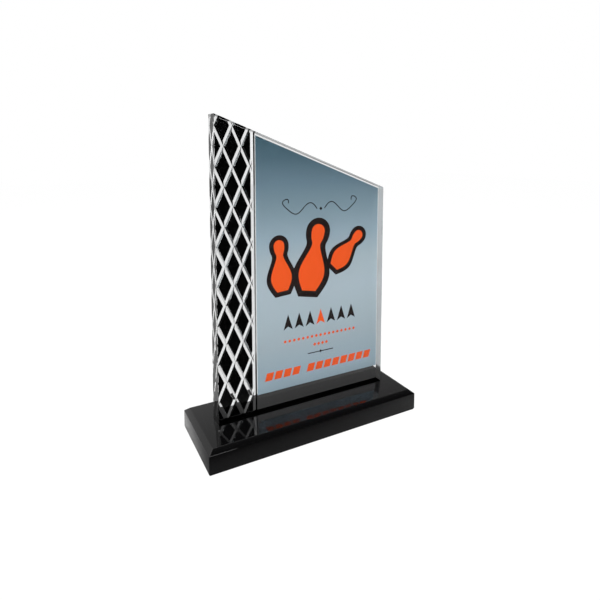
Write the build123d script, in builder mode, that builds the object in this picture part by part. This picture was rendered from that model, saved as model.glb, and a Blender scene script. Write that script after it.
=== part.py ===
"""Bowling award: a carved clear upright, printed on its back, bonded to a bevelled black base.

Frame: X runs to the right along the base, Y to the back and Z up.  The origin is at the centre
of the underside.  All sizes are in millimetres.
"""
import os
from math import atan2, ceil, degrees, hypot, radians, tan

from build123d import *

os.makedirs("parts", exist_ok=True)

# ---------------------------------------------------------------- base
BASE_SIDE_MARGIN = 15.6  # base beyond the upright, to the left and the right
BASE_FRONT_MARGIN = 26.4  # base beyond the upright, to the front and the back
BASE_HEIGHT = 16.1
BEVEL_RUN = 3.7  # how far the top bevel reaches in from each side
BEVEL_DROP = 2.95  # how far it reaches down
PAD_THICKNESS = 0.8  # felt sheet stuck under the base
PAD_INSET = 0.6

# ---------------------------------------------------------------- upright
BOND_THICKNESS = 0.2  # cement between the base and the upright
SLAB_WIDTH = 146.8
SLAB_THICKNESS = 12.7
SLAB_HEIGHT_LEFT = 226.7
SLAB_HEIGHT_RIGHT = 169.9
EDGE_CHAMFER = 0.15  # broken edges of the polished slab

# ---------------------------------------------------------------- carving on the back face
COLUMN_WIDTH = 31.8  # left edge of the slab to the middle of the upright groove
DIVIDER_DEPTH = 1.7  # the upright groove, a 90 degree V
LATTICE_WIDTH = 3.3  # of each crossing groove, a wider V
LATTICE_DEPTH = 1.05
LATTICE_DIAMONDS = 2  # whole diamonds across the column
LATTICE_MARGIN = 2.4  # outer crossings, from the slab's edge and from the divider
LATTICE_PITCH_Z = 29.4
LATTICE_START_Z = 13.1  # first crossing, above the slab's underside

# ---------------------------------------------------------------- paint and print
PAINT_THICKNESS = 0.2
BACKING_THICKNESS = 0.15
PRINT_MARGIN = 0.2  # bare edge left round the paint and beside the print
PRINT_TOP_MARGIN = 1.3  # bare edge above the print
GROOVE_CLEARANCE = 0.05  # bare line left beside each groove
DIVIDER_GAP = 0.5  # bare strip between the upright groove and the print
PRINT_BOTTOM = 11.6  # height of the print's lower edge above the slab's underside
ART_FOOT = 0.8  # height of the artwork's sheet above the print's lower edge
SMALLEST_PAINT = 1.0  # mm2; smaller slips of paint between grooves are scraped off

# ---------------------------------------------------------------- artwork, drawn on its own sheet
# The sheet's X runs from its middle and its Z from its lower edge.  It is scaled to the panel.
ART_WIDTH = 112.6
ART_HEIGHT = 157.3  # along the sheet's shorter, right edge
PINS = {  # foot's middle (x, z), lean to the right in degrees, height
    "left": ((-34.3, 78.6), -4.8, 41.0),
    "centre": ((-11.0, 75.8), 10.3, 54.5),
    "right": ((12.4, 92.8), 44.5, 38.6),
}
PIN_FOOT, PIN_BELLY, PIN_NECK, PIN_HEAD = 0.112, 0.215, 0.070, 0.110  # half widths over height
PIN_BELLY_AT, PIN_NECK_AT = 0.29, 0.71  # their places over the height
PIN_FOOT_SLOPE = (0.62, 1)  # way that the side leaves the foot
PIN_FOOT_GROWTH = 0.55  # share of the outline's width that is added beside the foot
PIN_OUTLINE = 0.094  # width of the dark line round a pin, over its height
ARROW_COUNT = 7
ARROW_PITCH = 9.9
ARROW_WIDTH = 8.2
ARROW_LENGTH = 12.6
ARROW_NOTCH = 2.6
ARROW_FOOT = 46.6
BEAD_COUNT = 17
BEAD_PITCH = 4.05
BEAD_DIAMETER = 2.3
BEAD_ROW = 37.2
LOZENGE_COUNT = 4
LOZENGE_PITCH = 3.7
LOZENGE_SIZE = 3.0
LOZENGE_ROW = 30.2
RULE_LENGTH = 24.0
RULE_THICKNESS = 0.8
RULE_STUD = 1.3  # half width of the small lozenge in the rule's middle
RULE_ROW = 23.4
STRIPE_COUNTS = {"left": 4, "right": 8}
STRIPE_PITCH = 7.9
STRIPE_WIDTH = 6.2
STRIPE_HEIGHT = 6.4
STRIPE_SLANT = 16.0
STRIPE_GAP = 5.4  # between the two groups
STRIPE_ROW = 11.6
SCROLL_ROW = 142.0
SCROLL_THICKNESS = 0.8
SCROLL_REACH = 35.0  # from the middle to each end
SCROLL_POINTS = (  # shares of the reach, from the inner end to the curled tip
    (0.10, 0.00),
    (0.34, 0.13),
    (0.62, -0.09),
    (0.88, 0.05),
    (0.97, 0.20),
    (0.86, 0.25),
    (0.83, 0.16),
)
SCROLL_STUD = 1.5  # half width of the lozenge between the scrolls

# ---------------------------------------------------------------- places worked out from the sizes
base_width = SLAB_WIDTH + 2 * BASE_SIDE_MARGIN
base_depth = SLAB_THICKNESS + 2 * BASE_FRONT_MARGIN
base_bottom = PAD_THICKNESS
base_top = base_bottom + BASE_HEIGHT
slab_bottom = base_top + BOND_THICKNESS
slab_left = -SLAB_WIDTH / 2
slab_right = SLAB_WIDTH / 2
slab_back = SLAB_THICKNESS / 2
divider_x = slab_left + COLUMN_WIDTH
print_left = divider_x + DIVIDER_DEPTH + DIVIDER_GAP
print_right = slab_right - PRINT_MARGIN
print_bottom = slab_bottom + PRINT_BOTTOM
art_bottom = print_bottom + ART_FOOT
print_middle = (print_left + print_right) / 2
top_slope = (SLAB_HEIGHT_LEFT - SLAB_HEIGHT_RIGHT) / SLAB_WIDTH
lattice_pitch_x = (COLUMN_WIDTH - 2 * LATTICE_MARGIN) / LATTICE_DIAMONDS
first_crossing = Vector(slab_left + LATTICE_MARGIN, slab_back, slab_bottom + LATTICE_START_Z)
groove_angle = degrees(atan2(LATTICE_PITCH_Z, lattice_pitch_x))
groove_reach = 2 * COLUMN_WIDTH * hypot(1, LATTICE_PITCH_Z / lattice_pitch_x)
rows_beside = ceil(COLUMN_WIDTH / lattice_pitch_x)
rows_above = ceil(SLAB_HEIGHT_LEFT / LATTICE_PITCH_Z)
lattice_rows = range(-rows_beside, rows_above + rows_beside + 1)
back_plane = Plane.XZ.offset(-slab_back)  # sketches on it are seen from the front


def top_at(x, inset=0.0):
    """Height of the slanted top above x, or of a line that lies inset below it."""
    return slab_bottom + SLAB_HEIGHT_LEFT - (x - slab_left) * top_slope - inset * hypot(1, top_slope)


art_scale = min(
    (print_right - print_left) / ART_WIDTH,
    (top_at(print_right, PRINT_MARGIN) - art_bottom) / ART_HEIGHT,
)


def on_sheet(x, z):
    """Place on the back face of a point of the artwork."""
    return (print_middle + x * art_scale, art_bottom + z * art_scale)


def finish(builder, name):
    """Label the piece and write it."""
    builder.part.label = name
    export_step(builder.part, f"parts/{name}.step")


# ---------------------------------------------------------------- felt pad, base and cement
with BuildPart() as base_pad:
    with BuildSketch():
        Rectangle(base_width - 2 * PAD_INSET, base_depth - 2 * PAD_INSET)
    extrude(amount=PAD_THICKNESS)
finish(base_pad, "base_pad")

with BuildPart() as base_block:
    with BuildSketch(Plane.XY.offset(base_bottom)):
        Rectangle(base_width, base_depth)
    extrude(amount=BASE_HEIGHT)
    top_face = base_block.faces().sort_by(Axis.Z)[-1]
    chamfer(top_face.edges(), length=BEVEL_RUN, length2=BEVEL_DROP, reference=top_face)
finish(base_block, "base_block")

with BuildPart() as bond_film:
    with BuildSketch(Plane.XY.offset(base_top)) as slab_foot:
        Rectangle(SLAB_WIDTH, SLAB_THICKNESS)
        chamfer(slab_foot.vertices(), length=EDGE_CHAMFER)
    extrude(amount=BOND_THICKNESS)
finish(bond_film, "bond_film")

# ---------------------------------------------------------------- carved clear upright
with BuildPart() as groove_cutter:
    for row in lattice_rows:
        start = first_crossing + Vector(0, 0, row * LATTICE_PITCH_Z)
        for rise in (LATTICE_PITCH_Z, -LATTICE_PITCH_Z):
            along = Vector(lattice_pitch_x, 0, rise).normalized()
            across = Vector(along.Z, 0, -along.X)
            with BuildSketch(Plane(origin=start, x_dir=across, z_dir=along)):
                Polygon(
                    (-LATTICE_WIDTH, LATTICE_DEPTH),
                    (LATTICE_WIDTH, LATTICE_DEPTH),
                    (0, -LATTICE_DEPTH),
                    align=None,
                )
            extrude(amount=groove_reach, both=True)
    with Locations((divider_x, slab_back, slab_bottom)):
        Box(
            2 * COLUMN_WIDTH,
            4 * LATTICE_DEPTH,
            2 * SLAB_HEIGHT_LEFT,
            align=(Align.MAX, Align.CENTER, Align.CENTER),
            mode=Mode.INTERSECT,
        )

with BuildPart() as upright:
    with BuildSketch(back_plane):
        Polygon(
            (slab_left, slab_bottom),
            (slab_right, slab_bottom),
            (slab_right, top_at(slab_right)),
            (slab_left, top_at(slab_left)),
            align=None,
        )
    extrude(amount=SLAB_THICKNESS)
    chamfer(upright.edges().sort_by(Axis.Z)[4:], length=EDGE_CHAMFER)
    with BuildSketch(Plane.XY.offset(slab_bottom)):
        with Locations((divider_x, slab_back)):
            Polygon(
                (-2 * DIVIDER_DEPTH, DIVIDER_DEPTH),
                (0, -DIVIDER_DEPTH),
                (2 * DIVIDER_DEPTH, DIVIDER_DEPTH),
                align=None,
            )
    extrude(amount=SLAB_HEIGHT_LEFT, mode=Mode.SUBTRACT)
    add(groove_cutter.part, mode=Mode.SUBTRACT)
finish(upright, "upright")

# ---------------------------------------------------------------- black paint between the grooves
paint_left = slab_left + PRINT_MARGIN
paint_right = divider_x - DIVIDER_DEPTH - GROOVE_CLEARANCE
bare_width = LATTICE_WIDTH + 2 * GROOVE_CLEARANCE

with BuildPart() as lattice_paint:
    with BuildSketch(back_plane):
        Polygon(
            (paint_left, slab_bottom + PRINT_MARGIN),
            (paint_right, slab_bottom + PRINT_MARGIN),
            (paint_right, top_at(paint_right, PRINT_MARGIN)),
            (paint_left, top_at(paint_left, PRINT_MARGIN)),
            align=None,
        )
        for row in lattice_rows:
            crossing = (first_crossing.X, first_crossing.Z + row * LATTICE_PITCH_Z)
            for tilt in (groove_angle, -groove_angle):
                with Locations(Location(crossing, tilt)):
                    Rectangle(2 * groove_reach, bare_width, mode=Mode.SUBTRACT)
    extrude(amount=-PAINT_THICKNESS)

smallest_volume = SMALLEST_PAINT * PAINT_THICKNESS
column_step = lattice_pitch_x / 2
for column in range(2 * LATTICE_DIAMONDS + 1):
    with BuildPart() as paint_column:
        for patch in lattice_paint.solids():
            nearest = round((patch.center().X - first_crossing.X) / column_step)
            if nearest == column and patch.volume > smallest_volume:
                add(patch)
    finish(paint_column, f"black_paint_column_{column + 1}")


# ---------------------------------------------------------------- artwork
def pin_sketch(name, outline=False):
    """One pin of the artwork in its place, wider all round by its outline if that is asked for."""
    foot, lean, drawn_height = PINS[name]
    height = drawn_height * art_scale
    grow = PIN_OUTLINE * height if outline else 0.0
    with BuildSketch() as pin:
        with BuildLine():
            side = Spline(
                (PIN_FOOT * height + PIN_FOOT_GROWTH * grow, -grow),
                (PIN_BELLY * height + grow, PIN_BELLY_AT * height),
                (PIN_NECK * height + grow, PIN_NECK_AT * height),
                (PIN_HEAD * height + grow, height - PIN_HEAD * height),
                tangents=(PIN_FOOT_SLOPE, (0, 1)),
            )
            CenterArc((0, height - PIN_HEAD * height), PIN_HEAD * height + grow, 0, 90)
            Line((0, -grow), side @ 0)
            mirror(about=Plane.YZ)
        make_face()
    return pin.sketch.moved(Location(on_sheet(*foot), -lean))


with BuildSketch() as pin_outline_art:
    for pin_name in PINS:
        add(pin_sketch(pin_name, outline=True))
    for pin_name in PINS:
        add(pin_sketch(pin_name), mode=Mode.SUBTRACT)

arrow_art = {}
middle_arrow = ARROW_COUNT // 2
side_arrows = [number for number in range(ARROW_COUNT) if number != middle_arrow]
for kind, chosen in (("side", side_arrows), ("centre", [middle_arrow])):
    with BuildSketch() as arrows:
        for number in chosen:
            with Locations(on_sheet((number - middle_arrow) * ARROW_PITCH, ARROW_FOOT)):
                Polygon(
                    (-ARROW_WIDTH * art_scale / 2, 0),
                    (0, ARROW_NOTCH * art_scale),
                    (ARROW_WIDTH * art_scale / 2, 0),
                    (0, ARROW_LENGTH * art_scale),
                    align=None,
                )
    arrow_art[kind] = arrows.sketch

with BuildSketch() as bead_art:
    with Locations(on_sheet(0, BEAD_ROW)):
        with GridLocations(BEAD_PITCH * art_scale, 0, BEAD_COUNT, 1):
            Circle(BEAD_DIAMETER * art_scale / 2)

with BuildSketch() as lozenge_art:
    with Locations(on_sheet(0, LOZENGE_ROW)):
        with GridLocations(LOZENGE_PITCH * art_scale, 0, LOZENGE_COUNT, 1):
            RegularPolygon(LOZENGE_SIZE * art_scale / 2, 4)

with BuildSketch() as rule_art:
    with Locations(on_sheet(0, RULE_ROW)):
        Rectangle(RULE_LENGTH * art_scale, RULE_THICKNESS * art_scale)
        RegularPolygon(RULE_STUD * art_scale, 4)

stripe_art = {}
stripe_lean = STRIPE_HEIGHT * tan(radians(STRIPE_SLANT))
stripe_x = -(STRIPE_PITCH * sum(STRIPE_COUNTS.values()) + STRIPE_GAP) / 2
for group, count in STRIPE_COUNTS.items():
    with BuildSketch() as stripes:
        for number in range(count):
            left = stripe_x + number * STRIPE_PITCH
            foot, head = STRIPE_ROW - STRIPE_HEIGHT / 2, STRIPE_ROW + STRIPE_HEIGHT / 2
            Polygon(
                on_sheet(left, foot),
                on_sheet(left + STRIPE_WIDTH, foot),
                on_sheet(left + STRIPE_WIDTH + stripe_lean, head),
                on_sheet(left + stripe_lean, head),
                align=None,
            )
    stripe_art[group] = stripes.sketch
    stripe_x += count * STRIPE_PITCH + STRIPE_GAP

with BuildSketch() as scroll_art:
    for side in (-1, 1):
        with BuildLine() as scroll:
            Spline(
                *(
                    on_sheet(side * reach * SCROLL_REACH, SCROLL_ROW + rise * SCROLL_REACH)
                    for reach, rise in SCROLL_POINTS
                )
            )
        trace(scroll.line, line_width=SCROLL_THICKNESS * art_scale)
    with Locations(on_sheet(0, SCROLL_ROW)):
        RegularPolygon(SCROLL_STUD * art_scale, 4)

print_pieces = {
    "pin_fill_left": pin_sketch("left"),
    "pin_fill_centre": pin_sketch("centre"),
    "pin_fill_right": pin_sketch("right"),
    "pin_outlines": pin_outline_art.sketch,
    "side_arrows": arrow_art["side"],
    "centre_arrow": arrow_art["centre"],
    "bead_row": bead_art.sketch,
    "lozenge_row": lozenge_art.sketch,
    "dark_rule": rule_art.sketch,
    "left_stripes": stripe_art["left"],
    "right_stripes": stripe_art["right"],
    "scrolls": scroll_art.sketch,
}

# ---------------------------------------------------------------- print film and white backing
with BuildSketch() as panel:
    Polygon(
        (print_left, print_bottom),
        (print_right, print_bottom),
        (print_right, top_at(print_right, PRINT_TOP_MARGIN)),
        (print_left, top_at(print_left, PRINT_TOP_MARGIN)),
        align=None,
    )

with BuildPart() as print_backing:
    with BuildSketch(back_plane.offset(-PAINT_THICKNESS)):
        add(panel.sketch)
    extrude(amount=-BACKING_THICKNESS)
finish(print_backing, "print_backing")

with BuildPart() as print_ground:
    with BuildSketch(back_plane):
        add(panel.sketch)
        for shape in print_pieces.values():
            add(shape, mode=Mode.SUBTRACT)
    extrude(amount=-PAINT_THICKNESS)
finish(print_ground, "print_ground")

for piece_name, shape in print_pieces.items():
    with BuildPart() as ink:
        with BuildSketch(back_plane):
            add(shape)
        extrude(amount=-PAINT_THICKNESS)
    finish(ink, piece_name)
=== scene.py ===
"""Looks of a bowling award: carved clear upright, reverse print and a polished black base.

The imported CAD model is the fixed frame.  Every piece takes its size and place from it.
"""

from math import radians

import bmesh
import bpy
from bpy.props import FloatProperty, FloatVectorProperty, PointerProperty
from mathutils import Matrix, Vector


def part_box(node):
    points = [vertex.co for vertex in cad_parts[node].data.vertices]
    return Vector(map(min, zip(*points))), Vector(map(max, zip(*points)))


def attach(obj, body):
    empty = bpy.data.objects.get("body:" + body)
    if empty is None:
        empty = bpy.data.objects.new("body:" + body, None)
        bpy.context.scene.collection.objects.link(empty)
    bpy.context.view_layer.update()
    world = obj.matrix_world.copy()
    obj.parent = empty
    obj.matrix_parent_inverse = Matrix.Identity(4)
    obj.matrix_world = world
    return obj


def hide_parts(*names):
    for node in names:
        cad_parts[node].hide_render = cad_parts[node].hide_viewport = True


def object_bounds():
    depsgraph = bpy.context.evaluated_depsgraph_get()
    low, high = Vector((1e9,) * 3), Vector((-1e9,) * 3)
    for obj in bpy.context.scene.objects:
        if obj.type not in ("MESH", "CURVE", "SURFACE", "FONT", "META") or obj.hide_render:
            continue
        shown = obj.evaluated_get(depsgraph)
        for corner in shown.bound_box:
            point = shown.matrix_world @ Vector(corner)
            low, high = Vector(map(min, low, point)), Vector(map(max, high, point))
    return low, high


bl_info = {
    "name": "Carved bowling award",
    "version": (1, 0, 0),
    "blender": (4, 5, 0),
    "location": "View3D > Sidebar > Award",
    "description": "Builds a carved clear award with a printed back on a black base",
    "category": "Object",
}

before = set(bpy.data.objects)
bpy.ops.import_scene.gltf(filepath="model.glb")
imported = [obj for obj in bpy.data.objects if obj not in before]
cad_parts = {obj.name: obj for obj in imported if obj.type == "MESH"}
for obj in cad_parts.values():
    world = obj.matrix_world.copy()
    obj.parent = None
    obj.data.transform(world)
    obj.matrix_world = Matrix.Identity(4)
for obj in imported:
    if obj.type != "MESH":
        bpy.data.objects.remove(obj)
cad_low, cad_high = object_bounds()
BODY = "root"
MM = 0.001
SHEET_IOR = 1.49  # refractive index of cast acrylic sheet, clear or black
FRONT = Vector((0, -1, 0))
RIGHT = Vector((1, 0, 0))
UP = Vector((0, 0, 1))
FACING = 0.9  # least cosine between a face's normal and the way that the face looks
EDGE_ANGLE = radians(20)  # a sharper edge of the base is rounded, and shaded as an edge
ROUND_STEPS = 3  # facets across each round of the base

LATTICE_NODES = [name for name in sorted(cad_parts) if name.startswith("black_paint_column")]
ORANGE_NODES = (
    "pin_fill_left", "pin_fill_centre", "pin_fill_right", "centre_arrow",
    "bead_row", "lozenge_row", "left_stripes", "right_stripes",
)
DARK_NODES = ("pin_outlines", "side_arrows", "dark_rule", "scrolls")


# ------------------------------------------------------------------ settings
class AwardBaseSettings(bpy.types.PropertyGroup):
    """Sizes and colours of the base, its felt and the cement."""

    bevel_run: FloatProperty(
        name="Bevel run", description="How far the top bevel reaches in",
        default=3.7 * MM, min=0, unit="LENGTH")
    bevel_drop: FloatProperty(
        name="Bevel drop", description="How far the top bevel reaches down",
        default=2.95 * MM, min=0, unit="LENGTH")
    edge_radius: FloatProperty(
        name="Edge radius", description="Polished round on every edge of the base",
        default=0.25 * MM, min=0, unit="LENGTH")
    colour: FloatVectorProperty(
        name="Base colour", description="Black of the cast sheet",
        subtype="COLOR", default=(0.0025, 0.0025, 0.0027), min=0, max=1)
    felt_colour: FloatVectorProperty(
        name="Felt colour", description="Colour of the felt's fibres",
        subtype="COLOR", default=(0.012, 0.012, 0.013), min=0, max=1)
    cement_colour: FloatVectorProperty(
        name="Cement colour", description="Colour of the cement under the upright",
        subtype="COLOR", default=(0.001, 0.001, 0.001), min=0, max=1)


class AwardUprightSettings(bpy.types.PropertyGroup):
    """Look of the clear sheet and of the paint in its lattice."""

    ior: FloatProperty(
        name="Index", description="Refractive index of the clear sheet",
        default=SHEET_IOR, min=1, max=2)
    tint: FloatVectorProperty(
        name="Tint", description="Colour that the clear sheet lets through",
        subtype="COLOR", default=(0.985, 0.992, 0.995), min=0, max=1)
    edge_roughness: FloatProperty(
        name="Edge roughness", description="Roughness of the sawn right edge",
        default=0.9, min=0, max=1, subtype="FACTOR")
    edge_clearness: FloatProperty(
        name="Edge clearness", description="Share of the sawn edge that is free of white haze",
        default=0.7, min=0, max=1, subtype="FACTOR")
    smear: FloatProperty(
        name="Smear", description="Roughness that handling adds to the polished faces",
        default=0.02, min=0, max=0.1)
    saw_marks: FloatProperty(
        name="Saw marks", description="Roughness that the saw marks add to the sawn edge",
        default=0.1, min=0, max=1)
    contact: FloatProperty(
        name="Contact", description="How far paint and cement wet into the clear sheet",
        default=0.04 * MM, min=0, unit="LENGTH")
    paint_colour: FloatVectorProperty(
        name="Paint colour", description="Black paint between the grooves",
        subtype="COLOR", default=(0.0015, 0.0015, 0.0016), min=0, max=1)


class AwardPrintSettings(bpy.types.PropertyGroup):
    """Colours of the print, and the gap in front of it."""

    air_gap: FloatProperty(
        name="Air gap", description="Gap between the clear sheet and the front of the print",
        default=0.02 * MM, min=0, unit="LENGTH")
    orange: FloatVectorProperty(
        name="Orange ink", description="Pins, stripes and beads",
        subtype="COLOR", default=(0.9, 0.118, 0.024), min=0, max=1)
    dark: FloatVectorProperty(
        name="Dark ink", description="Outlines, arrows and scrolls",
        subtype="COLOR", default=(0.021, 0.0147, 0.0137), min=0, max=1)
    backing: FloatVectorProperty(
        name="Backing", description="White flood coat behind the print",
        subtype="COLOR", default=(0.78, 0.79, 0.8), min=0, max=1)


class AwardStageSettings(bpy.types.PropertyGroup):
    """Camera, lamps and surroundings."""

    lens: FloatProperty(
        name="Lens", description="Focal length of the camera",
        default=28.665, min=1, unit="CAMERA")
    turn: FloatProperty(
        name="Turn", description="How far the camera looks to the right of straight ahead",
        default=radians(28.065), subtype="ANGLE")
    tilt: FloatProperty(
        name="Tilt", description="How far the camera looks down",
        default=radians(5.314), subtype="ANGLE")
    eye: FloatVectorProperty(
        name="Eye", description="Place of the camera",
        subtype="TRANSLATION", default=(-0.17608, -0.3281, 0.21975))
    shift: FloatVectorProperty(
        name="Shift", description="Sideways and upward shift of the lens, in frame widths",
        size=2, default=(-0.0032, -0.179))
    ambient: FloatProperty(
        name="Ambient", description="Light from the surroundings",
        default=0.58, min=0)
    through: FloatProperty(
        name="Seen through", description="Brightness of the room seen through the clear sheet",
        default=0.85, min=0, max=1)
    room_back: FloatProperty(
        name="Room behind", description="Brightness of what the gloss reflects from behind",
        default=0.47, min=0, max=1)
    room_front: FloatProperty(
        name="Room in front", description="Brightness of what the gloss reflects from the front",
        default=0.02, min=0, max=1)
    floor_tone: FloatProperty(
        name="Floor tone", description="Grey of the floor where a gloss doesn't reflect it",
        default=0.8, min=0, max=1, subtype="FACTOR")
    floor_glow: FloatProperty(
        name="Floor glow", description="Share of the floor's look that ignores its shadow",
        default=0.93, min=0, max=1, subtype="FACTOR")
    glow_strength: FloatProperty(
        name="Glow strength", description="Brightness of that share, as the camera sees it",
        default=1.035, min=0)
    floor_half: FloatProperty(
        name="Floor half size", description="Half the side of the floor",
        default=3.0, min=0.1, unit="LENGTH")


SETTINGS = {
    "award_base": AwardBaseSettings,
    "award_upright": AwardUprightSettings,
    "award_print": AwardPrintSettings,
    "award_stage": AwardStageSettings,
}


# ------------------------------------------------------------------ modelling helpers
def only(obj):
    """Select and activate one object alone."""
    bpy.ops.object.select_all(action="DESELECT")
    obj.select_set(True)
    bpy.context.view_layer.objects.active = obj


def select_faces(obj, chosen):
    """In edit mode, select the faces for which chosen(face) holds, and nothing else."""
    bpy.ops.mesh.select_mode(type="FACE")
    bpy.ops.mesh.select_all(action="DESELECT")
    mesh = bmesh.from_edit_mesh(obj.data)
    for face in mesh.faces:
        if chosen(face):
            face.select_set(True)
    mesh.select_flush_mode()
    bmesh.update_edit_mesh(obj.data)


def facing(direction):
    """A test for the faces that look along direction."""
    return lambda face: face.normal.dot(direction) > FACING


def dress(obj, *materials):
    """Give a piece these materials in place of its own."""
    obj.data.materials.clear()
    for material in materials:
        obj.data.materials.append(material)


def assign_selected(obj, index):
    """Give the selected faces the piece's material of that index, and leave edit mode."""
    obj.active_material_index = index
    bpy.ops.object.material_slot_assign()
    bpy.ops.object.mode_set(mode="OBJECT")
    bpy.ops.object.shade_flat()


def settle(obj, node):
    """Hide a finished piece's CAD node, and tie the piece to its body."""
    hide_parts(node)
    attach(obj, BODY)


def merged_copy(node, name):
    """A welded copy of a CAD node's mesh, left in edit mode."""
    piece = bpy.data.objects.new(name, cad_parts[node].data.copy())
    bpy.context.scene.collection.objects.link(piece)
    only(piece)
    bpy.ops.object.mode_set(mode="EDIT")
    bpy.ops.mesh.select_mode(type="FACE")
    bpy.ops.mesh.select_all(action="SELECT")
    bpy.ops.mesh.remove_doubles(threshold=0.001 * MM)
    return piece


def film_copy(node, name, direction, contact, outside, inside):
    """A copy of a flat film whose faces along direction are moved that way by contact.

    A contact above 0 wets them into the clear sheet, and one below 0 leaves a gap to it.  They
    get the inside material, which has no gloss of its own, and the other faces the outside one.
    """
    piece = merged_copy(node, name)
    dress(piece, outside, inside)
    select_faces(piece, facing(direction))
    bpy.ops.transform.translate(value=direction * contact)
    assign_selected(piece, 1)
    return piece


# ------------------------------------------------------------------ node helpers
def feed(tree, socket, value):
    """Link an output to the socket, or set the socket to a plain value."""
    if isinstance(value, bpy.types.NodeSocket):
        tree.links.new(value, socket)
    else:
        socket.default_value = value


def value_node(tree, operation, *values):
    """The result of a Math node on sockets or numbers."""
    node = tree.nodes.new("ShaderNodeMath")
    node.operation = operation
    for socket, value in zip(node.inputs, values):
        feed(tree, socket, value)
    return node.outputs["Value"]


def ranged(tree, value, low, high, to_low=0.0, to_high=1.0, smooth=False):
    """A value that goes from to_low to to_high as the given one goes from low to high."""
    node = tree.nodes.new("ShaderNodeMapRange")
    node.interpolation_type = "SMOOTHSTEP" if smooth else "LINEAR"
    ends = {"From Min": low, "From Max": high, "To Min": to_low, "To Max": to_high}
    for label, end in ends.items():
        feed(tree, node.inputs[label], end)
    tree.links.new(value, node.inputs["Value"])
    return node.outputs["Result"]


def mixed(tree, share, without, whole):
    """A value that goes from without to whole as share goes from 0 to 1."""
    mix = tree.nodes.new("ShaderNodeMix")
    for label, value in {"Factor": share, "A": without, "B": whole}.items():
        feed(tree, mix.inputs[label], value)
    return mix.outputs["Result"]


def axis_of(tree, coordinate, axis):
    """One axis of a texture coordinate."""
    place = tree.nodes.new("ShaderNodeTexCoord")
    parts = tree.nodes.new("ShaderNodeSeparateXYZ")
    tree.links.new(place.outputs[coordinate], parts.inputs["Vector"])
    return parts.outputs[axis]


def noise(tree, scale, detail, roughness=0.5):
    """Noise on the piece's own coordinates, with scale as its cells for each metre."""
    place = tree.nodes.new("ShaderNodeTexCoord")
    node = tree.nodes.new("ShaderNodeTexNoise")
    node.inputs["Detail"].default_value = detail
    node.inputs["Roughness"].default_value = roughness
    tree.links.new(place.outputs["Object"], node.inputs["Vector"])
    tree.links.new(scale, node.inputs["Scale"])
    return node.outputs["Fac"]


# ------------------------------------------------------------------ shared shader groups
SMEAR_LIMITS = (0.45, 0.75)  # noise where a smear starts, and where it is full
GRAIN_LIMITS = (0.3, 0.7)  # noise where the laydown is darkest, and where it is palest
SMEAR_SCALE = 45.0  # cells for each metre of a handled face
SAW_SCALE = 1500.0  # cells for each metre of a sawn face


def new_group(name, inputs, outputs):
    """An empty shader group with named sockets: (name, type, default) each."""
    group = bpy.data.node_groups.new(name, "ShaderNodeTree")
    for label, kind, default in inputs:
        socket = group.interface.new_socket(label, in_out="INPUT", socket_type=kind)
        socket.default_value = default
    for label, kind in outputs:
        group.interface.new_socket(label, in_out="OUTPUT", socket_type=kind)
    return group, group.nodes.new("NodeGroupInput"), group.nodes.new("NodeGroupOutput")


def handling_group():
    """Faint smears of a handled face, or fine saw marks: a roughness."""
    group, given, result = new_group(
        "handled_gloss",
        [("Roughness", "NodeSocketFloat", 0.04), ("Smear", "NodeSocketFloat", 0.04),
         ("Scale", "NodeSocketFloat", 60.0)],
        [("Roughness", "NodeSocketFloat")],
    )
    smears = noise(group, given.outputs["Scale"], detail=6, roughness=0.6)
    smears = ranged(group, smears, *SMEAR_LIMITS)
    roughness = value_node(
        group, "MULTIPLY_ADD", smears, given.outputs["Smear"], given.outputs["Roughness"])
    group.links.new(roughness, result.inputs["Roughness"])
    return group


def grain_group():
    """Fine uneven laydown of paint or ink: a colour and a height."""
    group, given, result = new_group(
        "ink_grain",
        [("Color", "NodeSocketColor", (1, 1, 1, 1)), ("Variation", "NodeSocketFloat", 0.03),
         ("Scale", "NodeSocketFloat", 2500.0)],
        [("Color", "NodeSocketColor"), ("Height", "NodeSocketFloat")],
    )
    grain = noise(group, given.outputs["Scale"], detail=3)
    darkest = value_node(group, "SUBTRACT", 1.0, given.outputs["Variation"])
    palest = value_node(group, "ADD", 1.0, given.outputs["Variation"])
    tone = group.nodes.new("ShaderNodeVectorMath")
    tone.operation = "SCALE"
    group.links.new(given.outputs["Color"], tone.inputs[0])
    group.links.new(ranged(group, grain, *GRAIN_LIMITS, darkest, palest), tone.inputs["Scale"])
    group.links.new(tone.outputs["Vector"], result.inputs["Color"])
    group.links.new(grain, result.inputs["Height"])
    return group


def shared(name, maker):
    """The shader group of that name, made on first use."""
    return bpy.data.node_groups.get(name) or maker()


# ------------------------------------------------------------------ materials
def new_material(name):
    """An empty node material with its Principled shader."""
    material = bpy.data.materials.new(name)
    material.use_nodes = True
    return material, material.node_tree, material.node_tree.nodes["Principled BSDF"]


def place_group(tree, group, **values):
    """Put a shared group into a material with its own values."""
    node = tree.nodes.new("ShaderNodeGroup")
    node.node_tree = group
    for label, value in values.items():
        node.inputs[label].default_value = value
    return node


def add_bump(tree, shader, height, strength, distance):
    """Feed a height to the shader's normal."""
    bump = tree.nodes.new("ShaderNodeBump")
    bump.inputs["Strength"].default_value = strength
    bump.inputs["Distance"].default_value = distance
    tree.links.new(height, bump.inputs["Height"])
    tree.links.new(bump.outputs["Normal"], shader.inputs["Normal"])


def polished_black(settings):
    """Polished black cast sheet."""
    material, tree, shader = new_material("polished_black")
    shader.inputs["Base Color"].default_value = (*settings.colour, 1)
    shader.inputs["IOR"].default_value = SHEET_IOR
    gloss = place_group(tree, shared("handled_gloss", handling_group),
                        Roughness=0.02, Smear=0.03, Scale=SMEAR_SCALE)
    tree.links.new(gloss.outputs["Roughness"], shader.inputs["Roughness"])
    return material


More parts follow.
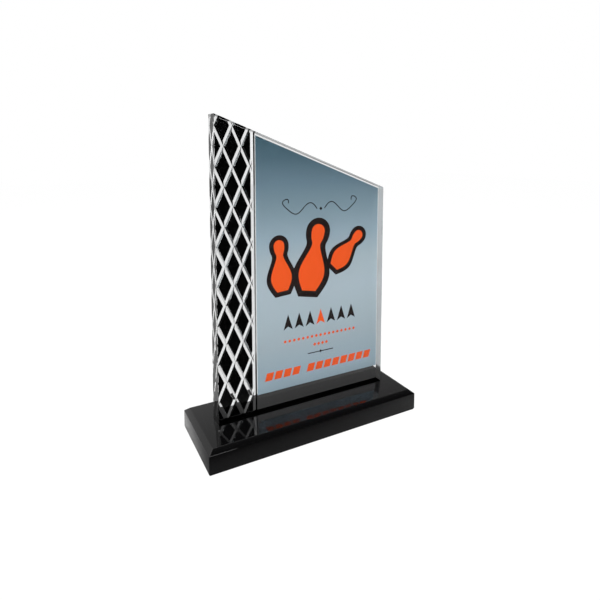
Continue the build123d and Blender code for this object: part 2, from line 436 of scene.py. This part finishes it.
def felt(settings):
    """Short black felt."""
    material, tree, shader = new_material("black_felt")
    grain = place_group(tree, shared("ink_grain", grain_group),
                        Color=(*settings.felt_colour, 1), Variation=0.5, Scale=1800.0)
    shader.inputs["Roughness"].default_value = 0.95
    shader.inputs["Specular IOR Level"].default_value = 0.1
    shader.inputs["Sheen Weight"].default_value = 0.15
    tree.links.new(grain.outputs["Color"], shader.inputs["Base Color"])
    add_bump(tree, shader, grain.outputs["Height"], strength=0.8, distance=0.3 * MM)
    return material


def height_fade(tree, node, stops):
    """A colour that changes with height: stops are shares of the node's height, and colours."""
    low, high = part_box(node)
    fade = tree.nodes.new("ShaderNodeValToRGB")
    elements = fade.color_ramp.elements
    while len(elements) < len(stops):
        elements.new(0.5)
    for element, (position, colour) in zip(elements, stops):
        element.position = position
        element.color = (*colour, 1)
    share = ranged(tree, axis_of(tree, "Object", "Z"), low.z, high.z)
    tree.links.new(share, fade.inputs["Fac"])
    return fade.outputs["Color"]


def clear_sheet(name, settings, roughness, smear, scale, clearness=1.0):
    """Clear cast sheet with smears or saw marks; the share of it that isn't clear is a haze."""
    material, tree, shader = new_material(name)
    shader.inputs["Base Color"].default_value = (*settings.tint, 1)
    shader.inputs["IOR"].default_value = settings.ior
    shader.inputs["Transmission Weight"].default_value = clearness
    gloss = place_group(tree, shared("handled_gloss", handling_group),
                        Roughness=roughness, Smear=smear, Scale=scale)
    tree.links.new(gloss.outputs["Roughness"], shader.inputs["Roughness"])
    return material


EDGE_HAZE_AND_PAINTED_FOOT = (  # share of the upright's height from its foot, and the sawn edge's colour there: pale haze above, and a band of painted shade at the foot that stands in for the black base seen through the edge
    (0.000, (0.02, 0.02, 0.02)),
    (0.050, (0.03, 0.03, 0.03)),
    (0.057, (0.93, 0.98, 1.0)),
    (1.000, (0.93, 0.98, 1.0)),
)


def sawn_edge(settings):
    """Matt, hazy sawn edge, with painted shade at its foot: a dark band that stands in for the
    black base seen through it.
    """
    material = clear_sheet("sawn_edge", settings, settings.edge_roughness, settings.saw_marks,
                           SAW_SCALE, clearness=settings.edge_clearness)
    tree = material.node_tree
    shader = tree.nodes["Principled BSDF"]
    # The dark band at the foot is painted shade, standing in for the black base seen through the
    # edge.
    tree.links.new(height_fade(tree, "upright", EDGE_HAZE_AND_PAINTED_FOOT), shader.inputs["Base Color"])
    return material


def ink(name, colour, roughness=0.45, variation=0.03):
    """Flat ink, paint or cement: one material for its open side, and one for its sheet side."""
    coats = []
    for side, specular in ((name, 0.5), (name + "_in_contact", 0.0)):
        material, tree, shader = new_material(side)
        grain = place_group(tree, shared("ink_grain", grain_group),
                            Color=(*colour, 1), Variation=variation)
        shader.inputs["Roughness"].default_value = roughness
        shader.inputs["Specular IOR Level"].default_value = specular
        tree.links.new(grain.outputs["Color"], shader.inputs["Base Color"])
        add_bump(tree, shader, grain.outputs["Height"], strength=0.1, distance=0.02 * MM)
        coats.append(material)
    return coats


GROUND_FADE = (  # share of the print's height from its foot, and the ink's colour there
    (0.00, (0.350, 0.452, 0.518)),
    (0.06, (0.352, 0.456, 0.520)),
    (0.17, (0.401, 0.479, 0.524)),
    (0.28, (0.432, 0.517, 0.562)),
    (0.39, (0.453, 0.540, 0.593)),
    (0.50, (0.425, 0.515, 0.559)),
    (0.60, (0.326, 0.425, 0.490)),
    (0.71, (0.235, 0.324, 0.374)),
    (0.82, (0.152, 0.230, 0.284)),
    (0.92, (0.090, 0.154, 0.197)),
    (1.00, (0.064, 0.124, 0.157)),
)


def graded_ink():
    """Blue-grey ground that darkens towards its top."""
    material, tree, shader = new_material("graded_ground")
    grain = place_group(tree, shared("ink_grain", grain_group), Variation=0.02)
    tree.links.new(height_fade(tree, "print_ground", GROUND_FADE), grain.inputs["Color"])
    tree.links.new(grain.outputs["Color"], shader.inputs["Base Color"])
    shader.inputs["Roughness"].default_value = 0.45
    shader.inputs["Specular IOR Level"].default_value = 0.0
    return material


# ------------------------------------------------------------------ pieces
class AWARD_OT_felt_pad(bpy.types.Operator):
    """Give the felt pad under the base its felt"""

    bl_idname = "award.felt_pad"
    bl_label = "Felt pad"

    def execute(self, context):
        dress(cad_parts["base_pad"], felt(context.scene.award_base))
        return {"FINISHED"}


class AWARD_OT_base(bpy.types.Operator):
    """Model the black base with its wide top bevel and polished edges"""

    bl_idname = "award.base"
    bl_label = "Polished base"

    def execute(self, context):
        settings = context.scene.award_base
        low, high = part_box("base_block")
        size = high - low
        bpy.ops.object.select_all(action="DESELECT")
        bpy.ops.mesh.primitive_cube_add(size=1, location=(low + high) / 2, scale=size)
        base = context.active_object
        base.name = "polished_base"
        bpy.ops.object.transform_apply(location=True, rotation=True, scale=True)
        bpy.ops.object.mode_set(mode="EDIT")
        bpy.ops.mesh.select_all(action="SELECT")
        bpy.ops.mesh.bisect(plane_co=(0, 0, high.z - settings.bevel_drop), plane_no=UP)
        select_faces(base, facing(UP))
        lost = 2 * settings.bevel_run
        inner = ((size.x - lost) / size.x, (size.y - lost) / size.y, 1)
        bpy.ops.transform.resize(value=inner, center_override=(0, 0, high.z))
        bpy.ops.mesh.select_all(action="DESELECT")
        bpy.ops.object.mode_set(mode="OBJECT")
        edges = base.modifiers.new("polished edges", "BEVEL")
        edges.width = settings.edge_radius
        edges.segments = ROUND_STEPS
        edges.limit_method = "ANGLE"
        edges.angle_limit = EDGE_ANGLE
        bpy.ops.object.modifier_apply(modifier=edges.name)
        bpy.ops.object.shade_smooth_by_angle(angle=EDGE_ANGLE)
        dress(base, polished_black(settings))
        settle(base, "base_block")
        return {"FINISHED"}


class AWARD_OT_cement(bpy.types.Operator):
    """Model the cement on the base, which wets the upright's foot"""

    bl_idname = "award.cement"
    bl_label = "Cement"

    def execute(self, context):
        contact = context.scene.award_upright.contact
        coats = ink("dark_cement", context.scene.award_base.cement_colour)
        cement = film_copy("bond_film", "cement_layer", UP, contact, *coats)
        settle(cement, "bond_film")
        return {"FINISHED"}


class AWARD_OT_upright(bpy.types.Operator):
    """Model the carved clear upright, with its matt, sawn right edge"""

    bl_idname = "award.upright"
    bl_label = "Clear upright"

    def execute(self, context):
        settings = context.scene.award_upright
        upright = merged_copy("upright", "clear_upright")
        polished = clear_sheet("clear_sheet", settings, 0.0, settings.smear, SMEAR_SCALE)
        dress(upright, polished, sawn_edge(settings))
        select_faces(upright, facing(RIGHT))
        assign_selected(upright, 1)
        settle(upright, "upright")
        return {"FINISHED"}


class AWARD_OT_lattice_paint(bpy.types.Operator):
    """Model the black paint that lies between the carved grooves"""

    bl_idname = "award.lattice_paint"
    bl_label = "Lattice paint"

    def execute(self, context):
        settings = context.scene.award_upright
        coats = ink("black_paint", settings.paint_colour, roughness=0.35, variation=0.2)
        for node in LATTICE_NODES:
            name = node.replace("black_paint_column", "lattice_paint")
            film = film_copy(node, name, FRONT, settings.contact, *coats)
            settle(film, node)
        return {"FINISHED"}


class AWARD_OT_print(bpy.types.Operator):
    """Model the print: its graded ground, its orange and dark inks and its white backing"""

    bl_idname = "award.print"
    bl_label = "Reverse print"

    def execute(self, context):
        settings = context.scene.award_print
        white = ink("white_ink", settings.backing)
        layers = [("print_ground", "blue_grey_ink", (white[0], graded_ink()))]
        orange = ink("orange_ink", settings.orange)
        layers += [(node, "orange_ink", orange) for node in ORANGE_NODES]
        dark = ink("dark_ink", settings.dark)
        layers += [(node, "dark_ink", dark) for node in DARK_NODES]
        for node, slot, coats in layers:
            film = film_copy(node, "ink_" + node, FRONT, -settings.air_gap, *coats)
            settle(film, node)
        backing = merged_copy("print_backing", "white_backing")
        bpy.ops.object.mode_set(mode="OBJECT")
        dress(backing, white[0])
        settle(backing, "print_backing")
        return {"FINISHED"}


# ------------------------------------------------------------------ stage
ANY_BOUNCE = 0.5  # a count of bounces above this is at least 1
ROOM_FADE = (-0.35, 0.25)  # y of the directions where the room starts and ends to brighten
ROOM_SIDES = (-0.5, 0.75, 1.6, 0.45)  # x of its bright and dim ends, and its levels there
FLOOR_PAINTED_SHADE = (-0.1, 0.015)  # m; y of the places where the floor's painted shade, as a gloss sees it, starts and ends to lift
FLOOR_SLANT = 0.2  # share of x in that y, so that the floor's painted shade is darker to the left


def sight(tree):
    """Masks for a ray from the camera, one sent on through clear sheet alone, and a mirrored one.

    All are 0 for a ray that lights a surface.
    """
    path = tree.nodes.new("ShaderNodeLightPath").outputs
    eye = path["Is Camera Ray"]
    looking = value_node(tree, "MAXIMUM", path["Is Glossy Ray"], path["Is Transmission Ray"])
    unlit = value_node(tree, "LESS_THAN", path["Diffuse Depth"], ANY_BOUNCE)
    looking = value_node(tree, "MULTIPLY", looking, unlit)
    mirrored = value_node(tree, "GREATER_THAN", path["Glossy Depth"], ANY_BOUNCE)
    mirror = value_node(tree, "MULTIPLY", looking, mirrored)
    through = value_node(tree, "SUBTRACT", looking, mirror)
    return eye, through, mirror


def front_fade(tree, coordinate, limits, settings, slant=0.0):
    """The room's brightness from behind the award to its front: limits are y where it changes. On
    the floor, as a gloss sees it, this is painted shade.

    Above 0, slant adds that share of x to y.
    """
    place = tree.nodes.new("ShaderNodeTexCoord")
    along = tree.nodes.new("ShaderNodeVectorMath")
    along.operation = "DOT_PRODUCT"
    along.inputs[1].default_value = (slant, 1, 0)
    tree.links.new(place.outputs[coordinate], along.inputs[0])
    return ranged(tree, along.outputs["Value"], *limits,
                  settings.room_front, settings.room_back, smooth=True)


def build_world(context):
    """A room that is white behind the award and dim in front of it."""
    settings = context.scene.award_stage
    world = bpy.data.worlds.new("white_room")
    world.use_nodes = True
    context.scene.world = world
    tree = world.node_tree
    surround = tree.nodes["Background"]
    surround.inputs["Color"].default_value = (1, 1, 1, 1)
    eye, through, mirror = sight(tree)
    room = front_fade(tree, "Generated", ROOM_FADE, settings)
    sides = ranged(tree, axis_of(tree, "Generated", "X"), *ROOM_SIDES)
    room = value_node(tree, "MULTIPLY", room, sides)
    shown = mixed(tree, mirror, settings.ambient, room)
    shown = mixed(tree, through, shown, settings.through)
    tree.links.new(mixed(tree, eye, shown, 1.0), surround.inputs["Strength"])


def floor_material(settings):
    """Pale floor that looks white and keeps a soft shadow; a gloss sees its grey with painted
    shade, darker in front of the award and to its left.
    """
    material, tree, shader = new_material("pale_floor")
    eye, through, mirror = sight(tree)
    # As a gloss sees it, the floor's grey fades darker to the front and left: painted shade.
    room = front_fade(tree, "Object", FLOOR_PAINTED_SHADE, settings, FLOOR_SLANT)
    tone = tree.nodes.new("ShaderNodeCombineColor")
    level = mixed(tree, mirror, settings.floor_tone, room)
    for channel in tone.inputs:
        tree.links.new(level, channel)
    tree.links.new(tone.outputs["Color"], shader.inputs["Base Color"])
    shader.inputs["Roughness"].default_value = 0.9
    shader.inputs["Specular IOR Level"].default_value = 0.0
    glow = tree.nodes.new("ShaderNodeEmission")
    brightness = mixed(tree, through, settings.glow_strength, settings.through)
    tree.links.new(brightness, glow.inputs["Strength"])
    mix = tree.nodes.new("ShaderNodeMixShader")
    straight = value_node(tree, "ADD", eye, through)
    tree.links.new(mixed(tree, straight, 0.0, settings.floor_glow), mix.inputs["Fac"])
    tree.links.new(shader.outputs["BSDF"], mix.inputs[1])
    tree.links.new(glow.outputs["Emission"], mix.inputs[2])
    tree.links.new(mix.outputs["Shader"], tree.nodes["Material Output"].inputs["Surface"])
    return material


LAMPS = (  # name, place, aim, width, height, power
    ("top_softbox", (-0.15, 0.2, 1.3), (0, 0, 0.1), 1.2, 0.9, 7.5),
    ("left_softbox", (-1.2, -0.5, 0.6), (0, 0, 0.12), 0.9, 1.1, 7.0),
    ("front_softbox", (-0.3, -1.1, 1.1), (0, 0, 0.12), 0.8, 0.6, 7.0),
)


def build_lamps():
    """Plain soft studio lamps."""
    for name, place, aim, width, height, power in LAMPS:
        turn = (Vector(aim) - Vector(place)).to_track_quat("-Z", "Y").to_euler()
        bpy.ops.object.light_add(type="AREA", location=place, rotation=turn)
        lamp = bpy.context.active_object
        lamp.name = name
        lamp.data.shape = "RECTANGLE"
        lamp.data.size = width
        lamp.data.size_y = height
        lamp.data.energy = power


class AWARD_OT_stage(bpy.types.Operator):
    """Set the floor, the surroundings, the lamps and the camera"""

    bl_idname = "award.stage"
    bl_label = "Stage"

    def execute(self, context):
        settings = context.scene.award_stage
        bpy.ops.object.select_all(action="DESELECT")
        bpy.ops.mesh.primitive_plane_add(size=2 * settings.floor_half, location=(0, 0, cad_low.z))
        floor = context.active_object
        floor.name = "floor"
        dress(floor, floor_material(settings))
        build_world(context)
        build_lamps()
        turn = (radians(90) - settings.tilt, 0, -settings.turn)
        bpy.ops.object.camera_add(location=settings.eye, rotation=turn)
        camera = context.active_object
        camera.name = "front_left_camera"
        camera.data.lens = settings.lens
        camera.data.shift_x, camera.data.shift_y = settings.shift
        camera.data.clip_start = 0.01
        context.scene.camera = camera
        context.scene.view_settings.view_transform = "Standard"
        context.scene.cycles.blur_glossy = 0.0  # keeps the sheet clear for the light on the print
        return {"FINISHED"}


STEPS = (
    AWARD_OT_stage, AWARD_OT_felt_pad, AWARD_OT_base, AWARD_OT_cement,
    AWARD_OT_upright, AWARD_OT_lattice_paint, AWARD_OT_print,
)


class AWARD_PT_panel(bpy.types.Panel):
    """Buttons for every step, in the 3D view's sidebar"""

    bl_idname = "AWARD_PT_panel"
    bl_label = "Bowling award"
    bl_space_type = "VIEW_3D"
    bl_region_type = "UI"
    bl_category = "Award"

    def draw(self, context):
        for step in STEPS:
            self.layout.operator(step.bl_idname)


CLASSES = (*SETTINGS.values(), *STEPS, AWARD_PT_panel)


def register():
    for cls in CLASSES:
        bpy.utils.register_class(cls)
    for name, cls in SETTINGS.items():
        setattr(bpy.types.Scene, name, PointerProperty(type=cls))


def unregister():
    for name in SETTINGS:
        delattr(bpy.types.Scene, name)
    for cls in reversed(CLASSES):
        bpy.utils.unregister_class(cls)


def main():
    """Build the whole award."""
    register()
    for step in STEPS:
        group, name = step.bl_idname.split(".")
        getattr(getattr(bpy.ops, group), name)()


if __name__ == "__main__":
    main()
